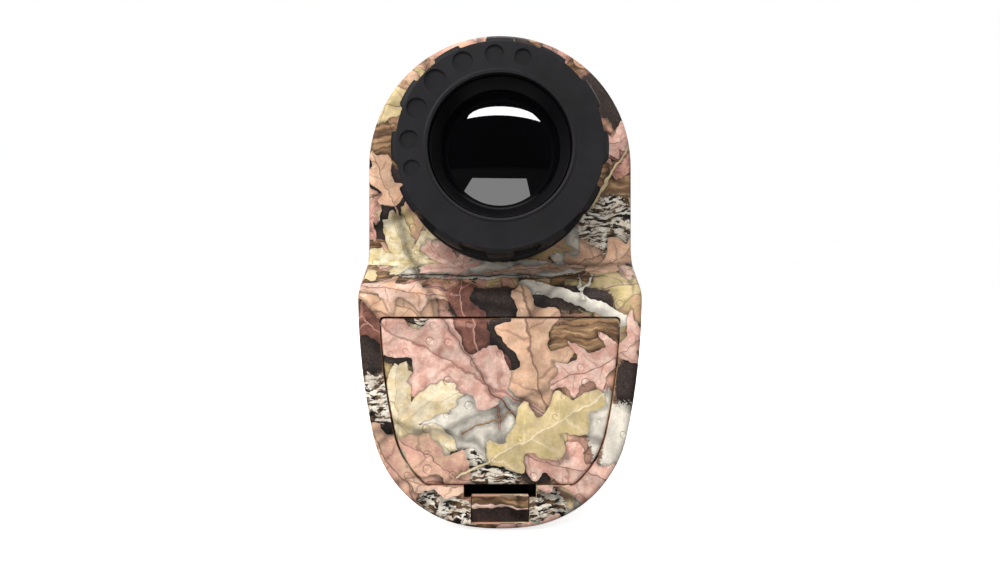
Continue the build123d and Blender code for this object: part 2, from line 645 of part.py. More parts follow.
# ---- Buttons ----------------------------------------------------------------------------------------
def fire_button():
    stem = along_z(Pos(0, FIRE_Y) * Rot(0, 0, 90) * oval(FIRE_LENGTH, FIRE_WIDTH), 75.4, 82)
    crown = along_y(body_outline(-FIRE_PROUD), SEAM_Y, FRONT_WALL_Y)
    cap = stem & crown
    cap = fillet(top_rim(cap), 0.45)
    for offset in (-4.5, 0, 4.5):
        cap -= Pos(0, FIRE_Y + offset, BODY_HEIGHT + FIRE_PROUD + 2.2) * Sphere(2.6)
    flange = along_z(Pos(0, FIRE_Y) * Rot(0, 0, 90) * oval(FIRE_LENGTH + 1.8, FIRE_WIDTH + 1.8), 75.2, 75.9)
    return cap + flange + rod_z(1.5, 74.7, 75.5, 0, FIRE_Y)


def top_rim(solid):
    """Edges around the crowned top face."""
    return solid.faces().sort_by(Axis.Z)[-1].outer_wire().edges()


def tact_switch():
    """Small square switch standing on z = 0, with a round actuator."""
    return along_z(RectangleRounded(6, 6, 0.4), 0, 1.3) + rod_z(1.6, 1.3, 1.7, 0, 0)


def fire_switch():
    return Pos(0, FIRE_Y, SWITCH_FOOT_Z) * tact_switch()


def button_board():
    return along_z(Pos(0, FIRE_Y) * RectangleRounded(19.5, 22, 1.5), SWITCH_FOOT_Z - 0.6, SWITCH_FOOT_Z)


def mode_button():
    face = -TOP_RADIUS - MODE_PROUD
    cap = rod_x(MODE_RADIUS, face, -19.5, MODE_Y, MODE_Z)
    cap = fillet(cap.faces().sort_by(Axis.X)[0].outer_wire().edges(), 0.4)
    flange = rod_x(MODE_RADIUS + 1.0, -19.9, -19.2, MODE_Y, MODE_Z)
    button = cap + flange + rod_x(1.2, -19.3, -18.5, MODE_Y, MODE_Z)
    return button - Pos(face - 7.0, MODE_Y, MODE_Z) * Rot(0, 90, 0) * Sphere(7.35)


def mode_switch():
    return Pos(SWITCH_FOOT_X, MODE_Y, MODE_Z) * Rot(0, -90, 0) * tact_switch()


def side_board():
    return block((SWITCH_FOOT_X, SWITCH_FOOT_X + 0.6), (MODE_Y - 6, MODE_Y + 6), (MODE_Z - 6.5, MODE_Z + 6.5))


# ---- Battery bay, door and latch --------------------------------------------------------------------
def battery_box():
    """Two-bore battery tube block with a sealing flange behind the door opening."""
    rear = LOWER_REAR_Y + WALL
    flange = along_y(door_outline(0.8) - door_outline(0.2), rear, rear + 0.8)
    flange += along_y(door_outline(0.8), rear + 0.8, rear + 1.8)
    flange -= block((-7.0, 7.0), (rear - 1, rear + 2), (0, 10.3))
    reach = BATTERY_RADIUS + 1.2
    body = along_y(Pos(0, BATTERY_Z) * RectangleRounded(2 * (BATTERY_X + reach), 2 * reach, reach - 0.1),
                   rear + 0.8, 7.2)
    for x, y in board_screw_places():
        body += rod_z(2.0, BATTERY_Z, BOARD_LOW_Z, x, y)
    box = flange + body
    for x in (-BATTERY_X, BATTERY_X):
        box -= rod_y(BATTERY_RADIUS + 0.2, rear - 1, 6.2, x, BATTERY_Z)
    for x, y in board_screw_places():
        box -= rod_z(0.9, 28.0, 32, x, y)
    return box


def battery(x, sign):
    """One cell; sign is +1 when its nipple points forwards."""
    front = BATTERY_REAR_Y + BATTERY_LENGTH
    if sign > 0:
        return rod_y(BATTERY_RADIUS, BATTERY_REAR_Y, front - 0.9, x, BATTERY_Z) + \
            rod_y(1.9, front - 0.9, front, x, BATTERY_Z)
    return rod_y(BATTERY_RADIUS, BATTERY_REAR_Y + 0.9, front, x, BATTERY_Z) + \
        rod_y(1.9, BATTERY_REAR_Y, BATTERY_REAR_Y + 0.9, x, BATTERY_Z)


def front_contacts():
    """Sprung contact for the negative end and a domed plate for the positive end."""
    front = BATTERY_REAR_Y + BATTERY_LENGTH
    plate = rod_y(3.2, 5.8, 6.2, -BATTERY_X, BATTERY_Z) + rod_y(1.5, front, 5.9, -BATTERY_X, BATTERY_Z)
    spring_plate = rod_y(4.2, 5.8, 6.2, BATTERY_X, BATTERY_Z)
    for turn in range(3):
        coil = Pos(BATTERY_X, 5.5 - 0.5 * turn, BATTERY_Z) * Rot(90, 0, 0) * Torus(3.6 - 0.3 * turn, 0.32)
        spring_plate += coil
    return Compound([plate, spring_plate])


def battery_door():
    rear = LOWER_REAR_Y
    door = along_y(door_outline(), rear, rear + WALL)
    door = fillet(top_edge(door, rear), DOOR_TOP_FILLET)
    inner_corner = block((-19, 19), (DOOR_HINGE_Y, rear + WALL), (DOOR_HINGE_Z, DOOR_TOP_Z + 1))
    door -= inner_corner - rod_x(DOOR_HINGE_Y - rear, -19, 19, DOOR_HINGE_Y, DOOR_HINGE_Z)
    leg_z = LATCH_PIVOT[1]
    door += block((-4.1, 4.1), (rear + WALL - 0.6, LATCH_PIVOT[0]), (leg_z - 0.35, leg_z + 0.35))
    door += rod_x(LATCH_BEAD_RADIUS, -4.1, 4.1, *LATCH_PIVOT)
    return door - rod_x(HINGE_PIN_RADIUS + RUNNING_GAP, -20, 20, DOOR_HINGE_Y, DOOR_HINGE_Z)


def top_edge(door, y):
    """The straight outer edge along the top of the door."""
    edges = door.edges().filter_by(Axis.X).filter_by(lambda e: abs(e.center().Y - y) < 0.01)
    return edges.sort_by(Axis.Z)[-1]


def door_gasket():
    rear = LOWER_REAR_Y + WALL
    return along_y(door_outline(-1.5, bottom=9.3) - door_outline(-2.6, bottom=9.3), rear, rear + 0.7)


def door_contact():
    """Sprung steel strip on the door that joins the two cells."""
    rear = LOWER_REAR_Y + WALL
    strip = along_y(Pos(0, BATTERY_Z) * RectangleRounded(19, 6, 1.5), rear, rear + 0.3)
    for x in (-BATTERY_X, BATTERY_X):
        strip += rod_y(1.6, rear + 0.3, rear + 1.7, x, BATTERY_Z)
    return strip


def door_hinge_pin():
    return rod_x(HINGE_PIN_RADIUS, -20.3, 20.3, DOOR_HINGE_Y, DOOR_HINGE_Z)


def latch_profile():
    """Side view of the latch: socket round the bead, leg to the outside and finger tab."""
    pivot_y, pivot_z = LATCH_PIVOT
    rear = LOWER_REAR_Y
    tab_y = rear + 1.2
    points = [(pivot_y - 0.4, pivot_z - 1), (pivot_y + 1.45, pivot_z), (pivot_y + 1.45, 4.8),
              (pivot_y + 0.4, 3.6), (tab_y, 3.6), (tab_y, TAB_BOTTOM_Z), (rear + 0.75, TAB_BOTTOM_Z),
              (rear + 0.02, 3.1), (rear, TAB_TOP_Z), (tab_y, TAB_TOP_Z), (tab_y + 0.3, 4.6),
              (pivot_y - 0.2, 4.6), (pivot_y - 0.4, 4.8)]
    return Pos(pivot_y, pivot_z) * Circle(1.45) + make_face(Polyline(*points, close=True))


def door_latch():
    """Sprung tab below the door, turning on the bead at the end of the door's leg."""
    pivot_y, pivot_z = LATCH_PIVOT
    profile = latch_profile() - Pos(pivot_y, pivot_z) * Circle(LATCH_BEAD_RADIUS + RUNNING_GAP)
    mouth = Polygon((0, 0), (-3, 2.45), (-3, -2.45), align=None)
    profile -= Pos(pivot_y, pivot_z) * mouth
    latch = along_x(profile, -TAB_HALF_WIDTH, TAB_HALF_WIDTH)
    barb = make_face(Polyline((-41.9, 3.7), (-41.9, 1.9), (-41.5, 1.9), (-40.2, 3.7), close=True))
    return latch + along_x(barb, -TAB_HALF_WIDTH + 1, TAB_HALF_WIDTH - 1)


# ---- Output -----------------------------------------------------------------------------------------
def nodes():
    """Every piece by the name of its node."""
    return {
        "rear_housing": rear_housing(),
        "front_housing": front_housing(),
        "housing_seal": seal_ring(),
        "front_bezel": front_bezel(),
        "side_grip_left": side_grip(-1),
        "side_grip_right": side_grip(1),
        "case_screws": case_screws(),
        "lanyard_bar": lanyard_bar(),
        "eyepiece_barrel": eyepiece_barrel(),
        "eyepiece_cell": eyepiece_cell(),
        "eyepiece_oring": oring(*CELL_ORING, CELL_ORING_Y),
        "eye_lens": eye_lens(),
        "field_lens": field_lens(),
        "lens_retainer": lens_retainer(),
        "focus_pin": focus_pin(),
        "diopter_ring": diopter_ring(),
        "eyecup": eyecup(),
        "objective_barrel": objective_barrel(),
        "objective_lens": objective_lens(),
        "objective_retainer": objective_retainer(),
        "objective_oring": oring(13.58, 0.42, FRONT_ORING_Y),
        "emitter_tube": emitter_tube(),
        "emitter_lens": emitter_lens(),
        "emitter_oring": oring(8.58, 0.42, FRONT_ORING_Y, z=EMITTER_Z),
        "laser_diode": laser_diode(),
        "laser_socket": laser_socket(),
        "laser_board": laser_board(),
        "prism_front": prism_front(),
        "prism_rear": prism_rear(),
        "prism_holder": prism_holder(),
        "prism_clip": prism_clip(),
        "display_lcd": display_lcd(),
        "display_ribbon": display_ribbon(),
        "receiver_board": receiver_board(),
        "apd_sensor": apd_sensor(),
        "main_board": main_board(),
        "board_parts": board_parts(),
        "board_screws": board_screws(),
        "laser_wires": laser_wires(),
        "battery_wires": battery_wires(),
        "fire_button": fire_button(),
        "fire_switch": fire_switch(),
        "button_board": button_board(),
        "mode_button": mode_button(),
        "mode_switch": mode_switch(),
        "side_board": side_board(),
        "battery_box": battery_box(),
        "battery_left": battery(-BATTERY_X, 1),
        "battery_right": battery(BATTERY_X, -1),
        "front_contacts": front_contacts(),
        "battery_door": battery_door(),
        "door_gasket": door_gasket(),
        "door_contact": door_contact(),
        "door_hinge_pin": door_hinge_pin(),
        "door_latch": door_latch(),
    }


os.makedirs("parts", exist_ok=True)
for name, solid in nodes().items():
    export_step(solid, f"parts/{name}.step")
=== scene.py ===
import json
import math
import bpy
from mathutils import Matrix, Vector


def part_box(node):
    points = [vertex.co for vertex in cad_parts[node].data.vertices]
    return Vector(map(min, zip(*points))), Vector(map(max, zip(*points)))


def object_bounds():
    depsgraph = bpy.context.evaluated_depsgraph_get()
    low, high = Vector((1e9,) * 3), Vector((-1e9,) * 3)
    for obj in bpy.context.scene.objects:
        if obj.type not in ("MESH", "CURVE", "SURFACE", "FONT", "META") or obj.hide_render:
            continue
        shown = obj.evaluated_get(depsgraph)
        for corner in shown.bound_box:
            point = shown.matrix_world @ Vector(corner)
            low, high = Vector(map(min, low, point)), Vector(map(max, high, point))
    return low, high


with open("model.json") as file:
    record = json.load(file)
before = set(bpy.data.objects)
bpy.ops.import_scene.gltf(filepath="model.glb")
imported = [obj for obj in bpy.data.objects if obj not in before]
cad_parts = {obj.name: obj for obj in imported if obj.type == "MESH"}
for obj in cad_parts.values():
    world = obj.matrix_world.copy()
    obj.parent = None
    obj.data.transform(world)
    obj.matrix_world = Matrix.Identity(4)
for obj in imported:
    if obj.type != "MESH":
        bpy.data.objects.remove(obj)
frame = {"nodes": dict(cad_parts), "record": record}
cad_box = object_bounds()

NODES = frame["nodes"]
MM = 1000.0                      # object coordinates are in metres, the print is laid out in mm
TINY = 1e-9                      # a weight too small to see, used only to order the nodes

# ---- Places taken from the frame, in mm ---------------------------------------------------------------
EYE_LOW, EYE_HIGH = (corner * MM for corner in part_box("eye_lens"))
SHELL_LOW, SHELL_HIGH = (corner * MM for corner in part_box("rear_housing"))
CUP_FACE_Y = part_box("eyecup")[0].y * MM
COLLAR_END_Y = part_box("diopter_ring")[1].y * MM
EYE_AXIS_Z = (EYE_LOW.z + EYE_HIGH.z) / 2
HALF_WIDTH = SHELL_HIGH.x
LOWER_REAR_Y = SHELL_LOW.y
UPPER_REAR_Y = COLLAR_END_Y + 0.1
SHELF_DEPTH = UPPER_REAR_Y - LOWER_REAR_Y
SHELF_LOW_Z = 36.9               # where the shelf starts to slope in, and how far it rises
SHELF_RISE = 5.2
SKIN = 0.9                       # printed depth below the outline
REAR_SKIN = 1.6                  # printed depth below the rear surface
FACING_BACK = 0.4                # share of the normal that makes a surface part of the back

# The lower body's outline: a long side arc and a corner arc, as in the CAD model.
SIDE_RADIUS = 105.0
SIDE_TANGENT_Z = 36.5
CORNER_RADIUS = 18.0
CORNER_X = 2.04
CORNER_Z = 18.12


# ---- Node-tree helpers --------------------------------------------------------------------------------
class Field:
    """A value that varies over the surface. Arithmetic on fields adds Math nodes to their tree."""

    def __init__(self, net, socket):
        self.net = net
        self.socket = socket

    def __add__(self, other):
        return self.net.math("ADD", self, other)

    def __sub__(self, other):
        return self.net.math("SUBTRACT", self, other)

    def __rsub__(self, other):
        return self.net.math("SUBTRACT", other, self)

    def __mul__(self, other):
        return self.net.math("MULTIPLY", self, other)

    def __truediv__(self, other):
        return self.net.math("DIVIDE", self, other)

    def __pow__(self, other):
        return self.net.math("POWER", self, other)

    def __abs__(self):
        return self.net.math("ABSOLUTE", self)

    __radd__ = __add__
    __rmul__ = __mul__


class Net:
    """A node tree being written."""

    def __init__(self, tree):
        self.tree = tree

    def node(self, kind, inputs=None, **settings):
        made = self.tree.nodes.new(kind)
        for key, value in settings.items():
            setattr(made, key, value)
        for key, value in (inputs or {}).items():
            self.feed(made.inputs[key], value)
        return made

    def feed(self, socket, value):
        if isinstance(value, Field):
            self.tree.links.new(value.socket, socket)
        else:
            socket.default_value = value

    def out(self, made, key=0):
        return Field(self, made.outputs[key])

    def math(self, operation, a, b=None):
        values = {index: value for index, value in enumerate((a, b)) if value is not None}
        return self.out(self.node("ShaderNodeMath", values, operation=operation))

    def sin(self, a):
        return self.math("SINE", a)

    def cos(self, a):
        return self.math("COSINE", a)

    def low(self, a, b):
        return self.math("MINIMUM", a, b)

    def high(self, a, b):
        return self.math("MAXIMUM", a, b)

    def above(self, a, b):
        return self.math("GREATER_THAN", a, b)

    def hypot(self, a, b):
        return self.math("SQRT", a * a + b * b)

    def clamp(self, a):
        return self.low(self.high(a, 0.0), 1.0)

    def ramp(self, value, start, end, low=0.0, high=1.0):
        """Smooth step of value from low at start to high at end."""
        made = self.node("ShaderNodeMapRange", {"Value": value, "From Min": start, "From Max": end,
                                                "To Min": low, "To Max": high},
                         interpolation_type="SMOOTHSTEP", clamp=False)
        return self.out(made)

    def vector(self, x, y, z=0.0):
        return self.out(self.node("ShaderNodeCombineXYZ", {0: x, 1: y, 2: z}))

    def split(self, vector):
        made = self.node("ShaderNodeSeparateXYZ", {0: vector})
        return [self.out(made, index) for index in range(3)]

    def channels(self, colour):
        made = self.node("ShaderNodeSeparateColor", {0: colour})
        return [self.out(made, index) for index in range(3)]

    def noise(self, vector, scale, detail=2.0, roughness=0.5):
        made = self.node("ShaderNodeTexNoise", {"Vector": vector, "Scale": scale, "Detail": detail,
                                                "Roughness": roughness})
        return self.out(made, "Fac")

    def mix(self, factor, a, b):
        made = self.node("ShaderNodeMix", {"Factor": factor}, data_type="RGBA")
        self.feed(made.inputs[6], a)
        self.feed(made.inputs[7], b)
        return Field(self, made.outputs[2])

    def choose(self, factor, a, b):
        """a where factor is 0, b where it is 1, for plain numbers."""
        return a + (b - a) * factor

    def darken(self, colour, factor):
        """Colour times a number, which may be above 1."""
        made = self.node("ShaderNodeMix", {"Factor": 1.0 - factor}, data_type="RGBA", clamp_factor=False)
        self.feed(made.inputs[6], colour)
        self.feed(made.inputs[7], (0.0, 0.0, 0.0, 1.0))
        return Field(self, made.outputs[2])

    def palette(self, value, colours):
        """One of several flat colours, by a value from 0 to 1."""
        made = self.node("ShaderNodeValToRGB", {"Fac": value})
        ramp = made.color_ramp
        ramp.interpolation = "CONSTANT"
        while len(ramp.elements) < len(colours):
            ramp.elements.new(0.5)
        for index, colour in enumerate(colours):
            ramp.elements[index].position = index / len(colours)
            ramp.elements[index].color = colour
        return self.out(made, "Color")


def rgb(red, green, blue):
    """Linear colour from display values of 0 to 255."""
    linear = []
    for value in (red, green, blue):
        share = value / 255
        linear.append(share / 12.92 if share <= 0.04045 else ((share + 0.055) / 1.055) ** 2.4)
    return (*linear, 1.0)


def group(name, inputs):
    """New node group with these inputs, (name, socket type) pairs, and a colour output."""
    tree = bpy.data.node_groups.new(name, "ShaderNodeTree")
    for label, kind in inputs:
        tree.interface.new_socket(label, in_out="INPUT", socket_type="NodeSocket" + kind)
    tree.interface.new_socket("Colour", in_out="OUTPUT", socket_type="NodeSocketColor")
    net = Net(tree)
    source = net.node("NodeGroupInput")
    return net, {label: Field(net, source.outputs[label]) for label, _ in inputs}


def finish_group(net, colour):
    net.node("NodeGroupOutput", {"Colour": colour})
    return net.tree


def use(net, tree, **values):
    """Instance of a node group; its inputs are given by name."""
    made = net.node("ShaderNodeGroup", node_tree=tree)
    for key, value in values.items():
        net.feed(made.inputs[key], value)
    return net.out(made, "Colour")


# ---- Printed motifs -----------------------------------------------------------------------------------
COMMON_INPUTS = [("Base", "Color"), ("X", "Float"), ("Z", "Float")]
LEAF_INPUTS = COMMON_INPUTS + [("Tone", "Float"), ("OX", "Float"), ("OZ", "Float"), ("DX", "Float"),
                               ("DZ", "Float"), ("Length", "Float"), ("Width", "Float"),
                               ("Lobes", "Float"), ("Sharp", "Float"), ("Tint", "Color"),
                               ("Shade", "Color"), ("Vein", "Color")]
MAPLE_LOBE = math.radians(58)    # angle from one point of a maple leaf to the next


def leaf_frame(net, given):
    """Position along and across a leaf, in leaf lengths, from its base at OX, OZ."""
    x = given["X"] - given["OX"]
    z = given["Z"] - given["OZ"]
    along = (x * given["DX"] + z * given["DZ"]) / given["Length"]
    across = (z * given["DX"] - x * given["DZ"]) / given["Length"]
    return along, across


def lay_leaf(net, given, inside_mm, vein, fold):
    """Leaf over its base: cast shadow, two tints, folded halves, veins and a thin darker rim."""
    shadow = net.ramp(inside_mm, -1.2, 0.1, 0.0, 0.55)
    base = net.darken(given["Base"], 1.0 - shadow)
    colour = net.mix(given["Tone"], given["Tint"], given["Shade"])
    colour = net.darken(colour, fold)
    colour = net.mix(vein, colour, given["Vein"])
    colour = net.darken(colour, net.ramp(inside_mm, 0.12, 0.6, 0.84, 1.0))
    colour = net.darken(colour, net.ramp(inside_mm, 0.0, 0.22, 1.25, 1.0))
    return net.mix(net.ramp(inside_mm, 0.0, 0.09), base, colour)


def oak_leaf():
    """Leaf with lobes along its midrib; Sharp above 1 makes the lobes pointed."""
    net, given = group("oak_leaf", LEAF_INPUTS)
    along, across = leaf_frame(net, given)
    side = abs(across)
    t = net.clamp(along)
    body = net.sin((t ** 0.85) * math.pi) ** 0.6
    phase = (t - side * 0.55) * given["Lobes"] * (2 * math.pi) + net.math("SIGN", across) * 0.7
    wave = net.cos(phase) * 0.5 + 0.5
    half = given["Width"] * body * ((wave ** given["Sharp"]) * 0.62 + 0.38)
    blade = half - side
    stem = net.low(0.014 - side, net.low(along + 0.28, 0.3 - along))
    inside = net.high(blade, stem) * given["Length"]
    rib = net.ramp(side, 0.002, 0.011, 0.7, 0.0)
    branch = net.ramp(wave, 0.985, 1.0, 0.0, 0.42) * net.ramp(side, 0.0, 0.3, 1.0, 0.2)
    fold = net.ramp(across, -0.012, 0.012, 0.92, 1.1) * net.ramp(side, 0.0, 0.35, 0.92, 1.08)
    return finish_group(net, lay_leaf(net, given, inside, net.high(rib, branch), fold))


def maple_leaf():
    """Palmate leaf: five pointed lobes round its base, with toothed edges."""
    net, given = group("maple_leaf", LEAF_INPUTS)
    along, across = leaf_frame(net, given)
    angle = net.math("ARCTAN2", across, along)
    reach = net.hypot(along, across)
    lobe = abs(net.cos(angle * (math.pi / MAPLE_LOBE)))
    tooth = net.math("PINGPONG", angle * 5.5 + reach * 2.0, 0.5)
    fall = net.cos(angle * 0.8) * 0.48 + 0.52
    half = ((lobe ** given["Sharp"]) * 0.56 + tooth * 0.16 + 0.30) * fall
    edge = half - reach
    stem = net.low(0.012 - abs(across), net.low(along + 0.5, 0.1 - along))
    inside = net.high(edge, stem) * given["Length"]
    spread = abs(net.sin(angle * (math.pi / MAPLE_LOBE))) * reach
    vein = net.ramp(spread, 0.004, 0.02, 0.6, 0.0) * net.above(along, -0.25)
    fold = net.ramp(net.sin(angle * (2 * math.pi / MAPLE_LOBE)), -0.3, 0.3, 0.9, 1.05)
    return finish_group(net, lay_leaf(net, given, inside, vein, fold))


def patch():
    """Rounded, ragged field of one fill behind the leaves."""
    net, given = group("patch", COMMON_INPUTS + [("Tone", "Float"), ("CX", "Float"), ("CZ", "Float"),
                                                 ("DX", "Float"), ("DZ", "Float"), ("Long", "Float"),
                                                 ("Short", "Float"), ("Fill", "Color")])
    x = given["X"] - given["CX"]
    z = given["Z"] - given["CZ"]
    along = abs((x * given["DX"] + z * given["DZ"]) / given["Long"])
    across = abs((z * given["DX"] - x * given["DZ"]) / given["Short"])
    inside = (1.0 + (given["Tone"] - 0.5) * 1.6) - (along ** 3.0) - (across ** 3.0)
    base = net.darken(given["Base"], net.ramp(inside, -0.8, 0.0, 1.0, 0.6))
    return finish_group(net, net.mix(net.ramp(inside, 0.0, 0.12), base, given["Fill"]))


def twig():
    """Tapered round stick from A to B, lit from above."""
    net, given = group("twig", COMMON_INPUTS + [("AX", "Float"), ("AZ", "Float"), ("BX", "Float"),
                                                ("BZ", "Float"), ("Radius", "Float"), ("Fill", "Color")])
    run_x = given["BX"] - given["AX"]
    run_z = given["BZ"] - given["AZ"]
    x = given["X"] - given["AX"]
    z = given["Z"] - given["AZ"]
    share = net.clamp((x * run_x + z * run_z) / (run_x * run_x + run_z * run_z))
    off_x = x - run_x * share
    off_z = z - run_z * share
    radius = given["Radius"] * (1.0 - share * 0.45)
    gap = radius - net.hypot(off_x, off_z)
    light = net.ramp((off_z + off_x * 0.3) / radius, -1.0, 0.9, 0.5, 1.1)
    base = net.darken(given["Base"], net.ramp(gap, -0.7, 0.0, 1.0, 0.55))
    return finish_group(net, net.mix(net.ramp(gap, 0.0, 0.08), base, net.darken(given["Fill"], light)))


OAK = oak_leaf()
MAPLE = maple_leaf()
PATCH = patch()
TWIG = twig()

# Print colours.
PINK = rgb(228, 194, 178)
ROSE = rgb(206, 156, 140)
PEACH = rgb(222, 184, 154)
TAN = rgb(206, 162, 132)
CREAM = rgb(233, 219, 190)
STRAW = rgb(216, 193, 150)
OLIVE = rgb(197, 177, 124)
MOSS = rgb(150, 132, 84)
MAROON = rgb(134, 88, 74)
WINE = rgb(96, 62, 54)
BROWN = rgb(158, 122, 88)
UMBER = rgb(92, 68, 50)
CHARCOAL = rgb(50, 43, 42)
INK = rgb(26, 22, 22)
PALE = rgb(229, 221, 206)
ASH = rgb(212, 203, 190)
RAW_PLASTIC = rgb(30, 26, 24)

LEAF_TINTS = [PINK, TAN, CREAM, ROSE, PEACH, OLIVE, PINK, MAROON, STRAW, ROSE]
LEAF_SHADES = [TAN, ROSE, STRAW, BROWN]

# Patterns in the print; scales are in cells per mm of surface.
SWAY_MM = 2.8                    # how far outlines wander
SWAY_SCALE = 0.2
MOTTLE_SCALE = 0.45
WEB_SCALE = 0.95                 # fine branching veins in the leaf tissue
FLECK_SCALE = 2.6
GROUND_CELLS = 0.085
DROP_CELLS = 0.3
POOL_SCALE = 0.3


class Print:
    """The leaf print being laid down on one part, motif by motif, from the back to the front."""

    def __init__(self, net, across, up):
        self.net = net
        raw = net.vector(across, up)
        sway = net.node("ShaderNodeTexNoise", {"Vector": raw, "Scale": SWAY_SCALE, "Detail": 3.0,
                                               "Roughness": 0.55}, noise_dimensions="2D")
        sway_x, sway_z, _ = net.channels(net.out(sway, "Color"))
        self.x = across + (sway_x - 0.5) * SWAY_MM
        self.z = up + (sway_z - 0.5) * SWAY_MM
        self.spot = net.vector(self.x, self.z)
        mottle = net.noise(raw, MOTTLE_SCALE, 4.0, 0.65)
        web = net.node("ShaderNodeTexVoronoi", {"Vector": self.spot, "Scale": WEB_SCALE},
                       feature="DISTANCE_TO_EDGE", voronoi_dimensions="2D")
        lines = net.ramp(net.out(web, "Distance"), 0.0, 0.09, 0.3, 0.0)
        self.tone = net.clamp(net.ramp(mottle, 0.36, 0.66) + lines)
        self.fleck = net.noise(raw, FLECK_SCALE, 3.0, 0.7)
        self.raw = raw
        self.colour = self.ground()

    def streaks(self, angle, stretch, scale):
        """Noise drawn out along a direction, given in radians from across."""
        turned = self.net.node("ShaderNodeMapping", {"Vector": self.spot, "Rotation": (0, 0, -angle),
                                                     "Scale": (1 / stretch, 1, 1)})
        return self.net.noise(self.net.out(turned), scale, 4.0, 0.6)

    def wood(self):
        grain = self.streaks(math.radians(-8), 9.0, 1.5)
        colour = self.net.mix(self.net.ramp(grain, 0.36, 0.6), UMBER, BROWN)
        return self.net.mix(self.net.ramp(grain, 0.56, 0.75, 0.0, 0.7), colour, STRAW)

    def bark(self):
        cracks = self.streaks(0.7, 3.2, 1.7)
        colour = self.net.mix(self.net.ramp(cracks, 0.47, 0.53), INK, PALE)
        return self.net.mix(self.net.ramp(self.tone, 0.2, 0.9, 0.0, 0.35), colour, BROWN)

    def ground(self):
        """Litter behind the leaves: dark gaps, wood, bark and soft pale grass, in ragged cells."""
        net = self.net
        cells = net.node("ShaderNodeTexVoronoi", {"Vector": self.spot, "Scale": GROUND_CELLS},
                         voronoi_dimensions="2D")
        pick, _, _ = net.channels(net.out(cells, "Color"))
        self.wood_fill = self.wood()
        self.bark_fill = self.bark()
        self.dark_fill = net.mix(net.ramp(self.fleck, 0.4, 0.75, 0.0, 0.6), CHARCOAL, UMBER)
        self.pale_fill = net.mix(self.tone, PALE, ASH)
        colour = net.mix(net.above(pick, 0.35), self.dark_fill, self.wood_fill)
        colour = net.mix(net.above(pick, 0.6), colour, self.bark_fill)
        return net.mix(net.above(pick, 0.8), colour, self.pale_fill)

    def settle(self):
        """Makes the next motifs wait for the colour so far, which keeps Cycles' shader stack short."""
        red, _, _ = self.net.channels(self.colour)
        self.x = self.x + red * TINY
        self.z = self.z + red * TINY

    def common(self):
        return {"Base": self.colour, "X": self.x, "Z": self.z}

    def leaf(self, tree, base, tip, width, lobes, sharp, tint, shade, vein):
        """One leaf from its base to its tip; width is its half-width."""
        run = Vector(tip) - Vector(base)
        length = run.length
        unit = run / length
        self.colour = use(self.net, tree, **self.common(), Tone=self.tone, OX=base[0], OZ=base[1], DX=unit.x,
                          DZ=unit.y, Length=length, Width=width / length, Lobes=lobes, Sharp=sharp, Tint=tint,
                          Shade=shade, Vein=vein)

    def field(self, centre, long, short, degrees, fill):
        turn = math.radians(degrees)
        self.colour = use(self.net, PATCH, **self.common(), Tone=self.fleck, CX=centre[0], CZ=centre[1],
                          DX=math.cos(turn), DZ=math.sin(turn), Long=long, Short=short, Fill=fill)

    def stick(self, start, end, radius, fill):
        self.colour = use(self.net, TWIG, **self.common(), AX=start[0], AZ=start[1], BX=end[0], BZ=end[1],
                          Radius=radius, Fill=fill)

    def scatter(self, tree, spacing, length, width, lobes, sharp, offset):
        """One leaf in each cell of a loose grid, with its own turn, size and tint."""
        net = self.net
        shifted = net.vector(self.x + offset, self.z - offset * 0.7)
        cells = net.node("ShaderNodeTexVoronoi",
                         {"Vector": shifted, "Scale": 1 / spacing, "Randomness": 0.75},
                         voronoi_dimensions="2D")
        pick, turn_share, size_share = net.channels(net.out(cells, "Color"))
        home_x, home_z, _ = net.split(net.out(cells, "Position"))
        turn = turn_share * (2 * math.pi)
        unit_x, unit_z = net.cos(turn), net.sin(turn)
        grown = length * 0.8 + size_share * (length * 0.4)
        self.colour = use(net, tree, **self.common(), Tone=self.tone,
                          OX=home_x - offset - unit_x * grown * 0.5,
                          OZ=home_z + offset * 0.7 - unit_z * grown * 0.5,
                          DX=unit_x, DZ=unit_z, Length=grown, Width=width, Lobes=lobes, Sharp=sharp,
                          Tint=net.palette(pick, LEAF_TINTS),
                          Shade=net.palette(turn_share, LEAF_SHADES), Vein=WINE)

    def droplets(self):
        """Rain drops in the print: a dark ring, a bright far side and a small highlight."""
        net = self.net
        cells = net.node("ShaderNodeTexVoronoi", {"Vector": self.raw, "Scale": DROP_CELLS, "Randomness": 1.0},
                         voronoi_dimensions="2D")
        pick, size_share, _ = net.channels(net.out(cells, "Color"))
        home_x, home_z, _ = net.split(net.out(cells, "Position"))
        raw_x, raw_z, _ = net.split(self.raw)
        radius = net.above(pick, 0.5) * (size_share * 0.5 + 0.3) + 0.001
        x = (raw_x - home_x) / radius
        z = (raw_z - home_z) / radius
        reach = net.hypot(x, z)
        within = net.ramp(reach, 1.12, 0.98)
        rim = net.ramp(abs(reach - 0.93), 0.0, 0.24, 0.5, 0.0)
        lit = net.ramp(x - z, 0.1, 1.2, 0.0, 0.45) * within
        spark = net.ramp(net.hypot(x + 0.35, z - 0.4), 0.3, 0.1, 0.0, 0.5)
        colour = net.darken(self.colour, 1.0 - rim + lit)
        colour = net.mix(spark, colour, net.darken(colour, 1.8))
        self.colour = net.mix(within, self.colour, colour)

    def light(self):
        """Uneven daylight over the printed scene, and the fine grain of the printing."""
        net = self.net
        pools = net.ramp(net.noise(self.raw, POOL_SCALE, 3.0, 0.6), 0.34, 0.64, 0.86, 1.18)
        grain = net.ramp(self.fleck, 0.25, 0.75, 0.93, 1.07)
        self.colour = net.darken(self.colour, pools * grain)

